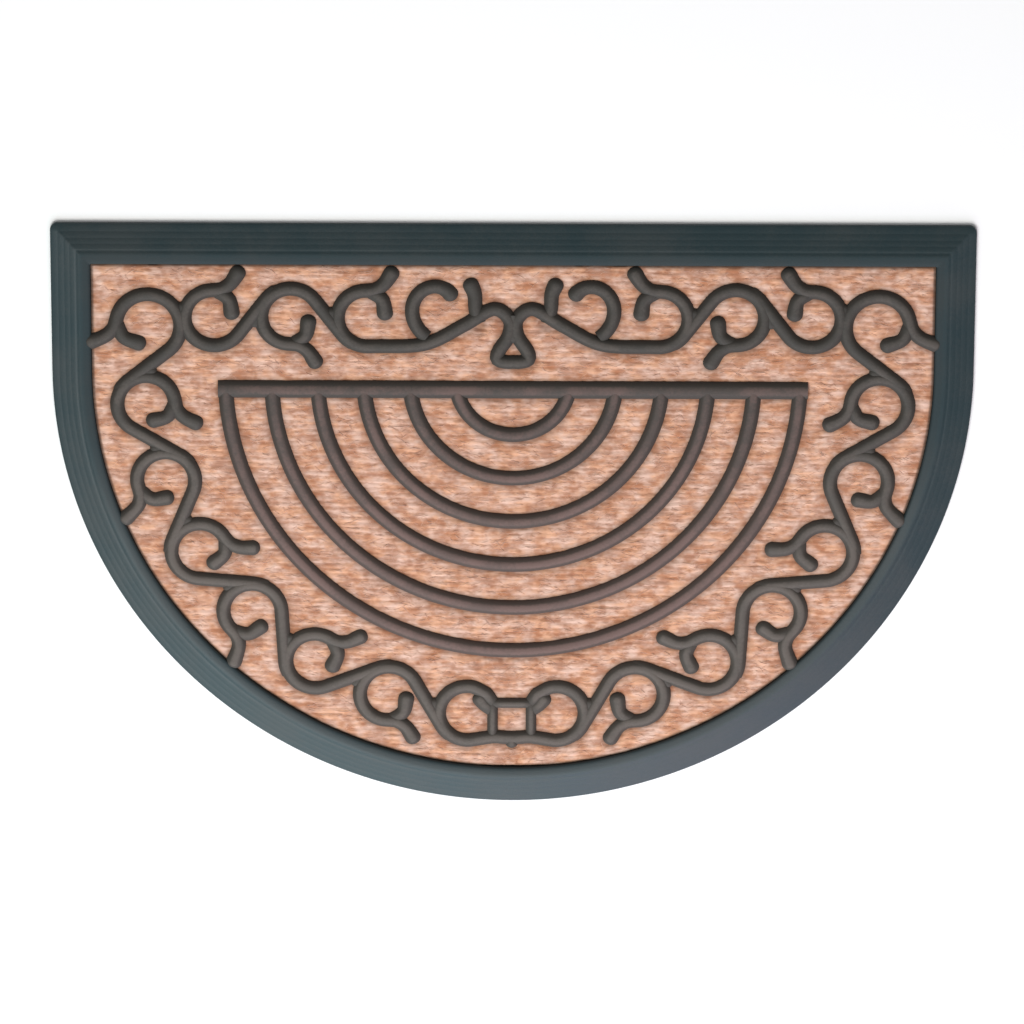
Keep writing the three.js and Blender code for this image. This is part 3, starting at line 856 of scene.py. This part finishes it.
class DOORMAT_OT_coir(bpy.types.Operator):
    """Build the woven coir panel"""

    bl_idname = "doormat.coir"
    bl_label = "Coir panel"

    def execute(self, context):
        """The panel's top is a grid of rows at a quarter of the weave's row pitch, each stretched to the
        panel's width there and raised by the weave's height. Walls and a flat underside close it."""
        sizes, coir = context.scene.doormat_sizes, context.scene.doormat_coir
        half_depth = panel_top(sizes)
        step = coir.row_pitch / MM / ROWS_PER_YARN
        y = np.arange(half_depth, ROUND_END - half_depth, -step)
        share = np.linspace(-1, 1, COIR_COLUMNS)
        grid_y = np.repeat(y[:, None], len(share), axis=1)
        grid_x = share[None, :] * half_width_at(y, sizes)[:, None]
        lines = rib_centrelines(sizes)
        edge = np.clip(panel_gap(grid_x, grid_y, sizes), 0, None)
        grid_z, press, height, tone = coir_surface(grid_x, grid_y, edge, sizes, coir, lines)
        # Painted shadow along the border, which the material reads as the rim attribute.
        rim_shade = np.exp(-edge / RIM_REACH)
        top = np.stack((grid_x, grid_y, grid_z), axis=-1).reshape(-1, 3)

        rows, columns = grid_x.shape
        index = np.arange(rows * columns).reshape(rows, columns)
        corners = (index[:-1, :-1], index[1:, :-1], index[1:, 1:], index[:-1, 1:])
        quads = np.stack(corners, axis=-1).reshape(-1, 4)
        rim = np.concatenate((index[:-1, 0], index[-1, :-1], index[:0:-1, -1], index[0, :0:-1]))
        under = top[rim].copy()
        under[:, 2] = sizes.coir_bottom / MM
        low = rows * columns + np.arange(len(rim))
        walls = np.stack((low, np.roll(low, -1), np.roll(rim, -1), rim), axis=-1)
        points = np.concatenate((top, under))
        faces = quads.tolist() + walls.tolist() + [low[::-1].tolist()]
        material = coir_material("woven coir", coir)
        piece = make_piece("coir_weave", points, faces, material, "coir", "coir_panel", sharp=60)

        for label, values, at_rim in (("press", press, 1.0), ("height", height, 0.0), ("tone", tone, 0.5),
                                      ("rim", rim_shade, 1.0)):
            set_values(piece, label, np.concatenate((values.ravel(), np.full(len(rim), at_rim))))
        return {"FINISHED"}


class DOORMAT_OT_fibres(bpy.types.Operator):
    """Build the stray fibres of the coir"""

    bl_idname = "doormat.fibres"
    bl_label = "Coir fibres"

    def execute(self, context):
        """Each fibre is a three-sided thread over four stations: it leaves the weave, bows up and sideways
        as half a sine, and goes back in. Those that would touch a rib or the border are left out."""
        sizes, coir = context.scene.doormat_sizes, context.scene.doormat_coir
        chance = np.random.default_rng(5)
        half = panel_half(sizes)
        tries = coir.fibres * FIBRE_TRIES
        start = np.stack((chance.uniform(-half, half, tries), chance.uniform(-half, half, tries)), axis=-1)
        angle = chance.normal(0, FIBRE_SPREAD, tries) + np.pi * chance.integers(0, 2, tries)
        length = chance.uniform(*FIBRE_LENGTH, tries)
        bow = chance.normal(0, FIBRE_BOW, tries) * length
        lift = chance.uniform(*FIBRE_LIFT, tries)
        t = np.linspace(0, 1, len(FIBRE_TAPER))[None, :]
        forward = np.stack((np.cos(angle), np.sin(angle)), axis=-1)
        sideways = np.stack((-forward[:, 1], forward[:, 0]), axis=-1)
        path = (start[:, None] + forward[:, None] * (length[:, None] * t)[..., None]
                + sideways[:, None] * (bow[:, None] * np.sin(np.pi * t))[..., None])
        lines = rib_centrelines(sizes)
        edge = panel_gap(path[..., 0], path[..., 1], sizes)
        clear = (np.minimum(nearest(path[..., 0], path[..., 1], lines), edge) > FIBRE_CLEAR).all(axis=1)
        keep = np.flatnonzero(clear)[:coir.fibres]
        path, lift, edge = path[keep], lift[keep], edge[keep]
        ground, *_ = coir_surface(path[..., 0], path[..., 1], edge, sizes, coir, lines)
        height = ground - FIBRE_ROOT + lift[:, None] * np.sin(np.pi * t) ** 0.7

        thick = chance.uniform(*FIBRE_RADIUS, len(keep))[:, None, None] * FIBRE_TAPER[None, :, None]
        turn = FIBRE_SIDES[None, None, :]
        side = sideways[keep][:, None, None]
        ring_xy = path[:, :, None] + side * (thick * np.cos(turn))[..., None]
        ring_z = height[:, :, None] + thick * np.sin(turn)
        points = np.concatenate((ring_xy, ring_z[..., None]), axis=-1).reshape(-1, 3)
        index = np.arange(len(keep) * FIBRE_POINTS).reshape(len(keep), len(FIBRE_TAPER), len(FIBRE_SIDES))
        ends = np.concatenate((index[:, 0, ::-1], index[:, -1]))
        faces = tube_quads(index).tolist() + ends.tolist()
        piece = make_piece("coir_fibres", points, faces, fibre_material("coir fibre", coir), "coir")
        set_values(piece, "tone", np.repeat(chance.beta(*FIBRE_TONE, len(keep)), FIBRE_POINTS))

        flat = (2 * half * MM, (sizes.depth / MM - 2 * sizes.coir_inset / MM) * MM)
        straight = flat[1] - flat[0] / 2
        area = flat[0] * straight + math.pi * (flat[0] / 2) ** 2 / 2
        return {"FINISHED"}


class DOORMAT_OT_stage(bpy.types.Operator):
    """Set up the floor, the lights and the camera"""

    bl_idname = "doormat.stage"
    bl_label = "Stage"

    def execute(self, context):
        """A pale floor, an even sky, three soft lamps that face the mat, and the camera on its elevation."""
        scene, look = context.scene, context.scene.doormat_stage
        shader = Shader("pale floor")
        whole, _ = shader.place()
        shade = shader.noise(whole, 2.0, 2.0)
        material = shader.surface(
            Base_Color=shader.mix(shade, (0.95, 0.95, 0.95), (0.97, 0.97, 0.97)), Roughness=0.9)
        mesh = bpy.data.meshes.new("floor")
        reach = FLOOR_REACH
        corners = [(-reach, -reach, 0), (reach, -reach, 0), (reach, reach, 0), (-reach, reach, 0)]
        mesh.from_pydata(corners, [], [(0, 1, 2, 3)])
        mesh.materials.append(material)
        floor = bpy.data.objects.new("floor", mesh)
        scene.collection.objects.link(floor)

        world = bpy.data.worlds.new("even sky")
        world.use_nodes = True
        world.node_tree.nodes["Background"].inputs["Color"].default_value = (1.0, 1.0, 1.0, 1.0)
        world.node_tree.nodes["Background"].inputs["Strength"].default_value = look.sky
        scene.world = world

        for name, power, size, place, colour in LAMPS:
            lamp = bpy.data.lights.new(name, "AREA")
            lamp.energy = getattr(look, power)
            lamp.size = size
            lamp.color = colour
            holder = bpy.data.objects.new(name, lamp)
            holder.location = place
            holder.rotation_euler = (-holder.location).to_track_quat("-Z", "Y").to_euler()
            scene.collection.objects.link(holder)

        eye = bpy.data.cameras.new("camera")
        eye.sensor_width = SENSOR_WIDTH
        eye.lens = eye.sensor_width * look.distance / look.view_width
        eye.clip_end = CLIP_END
        camera = bpy.data.objects.new("camera", eye)
        back = Vector((0.0, math.cos(look.elevation), math.sin(look.elevation)))
        target = Vector(VIEW_TARGET)
        camera.location = target + back * look.distance
        turn = (-back).to_track_quat("-Z", "Y").to_matrix().to_4x4()
        camera.rotation_euler = (turn @ Matrix.Rotation(math.pi + look.roll, 4, "Z")).to_euler()
        scene.collection.objects.link(camera)
        scene.camera = camera
        scene.view_settings.view_transform = "Standard"
        return {"FINISHED"}


class DOORMAT_PT_panel(bpy.types.Panel):
    """Sizes, colours and steps of the doormat"""

    bl_label = "Doormat"
    bl_idname = "DOORMAT_PT_panel"
    bl_space_type = "VIEW_3D"
    bl_region_type = "UI"
    bl_category = "Doormat"

    def draw(self, context):
        for title, group in GROUPS.items():
            box = self.layout.box()
            box.label(text=title)
            settings = getattr(context.scene, group)
            for name in settings.__annotations__:
                box.prop(settings, name)
        for operator in OPERATORS:
            self.layout.operator(operator.bl_idname)


GROUPS = {
    "Sizes": "doormat_sizes",
    "Coir": "doormat_coir",
    "Rubber": "doormat_rubber",
    "Stage": "doormat_stage",
}
SETTINGS = (DoormatSizes, DoormatCoir, DoormatRubber, DoormatStage)
OPERATORS = (
    DOORMAT_OT_border,
    DOORMAT_OT_scroll,
    DOORMAT_OT_fan,
    DOORMAT_OT_coir,
    DOORMAT_OT_fibres,
    DOORMAT_OT_stage,
)
CLASSES = (*SETTINGS, *OPERATORS, DOORMAT_PT_panel)


def register():
    for cls in CLASSES:
        bpy.utils.register_class(cls)
    for group, cls in zip(GROUPS.values(), SETTINGS):
        setattr(bpy.types.Scene, group, bpy.props.PointerProperty(type=cls))


def unregister():
    for group in GROUPS.values():
        delattr(bpy.types.Scene, group)
    for cls in reversed(CLASSES):
        bpy.utils.unregister_class(cls)


def main():
    register()
    bpy.ops.doormat.border()
    bpy.ops.doormat.scroll()
    bpy.ops.doormat.fan()
    bpy.ops.doormat.coir()
    bpy.ops.doormat.fibres()
    bpy.ops.doormat.stage()


if __name__ == "__main__":
    main()
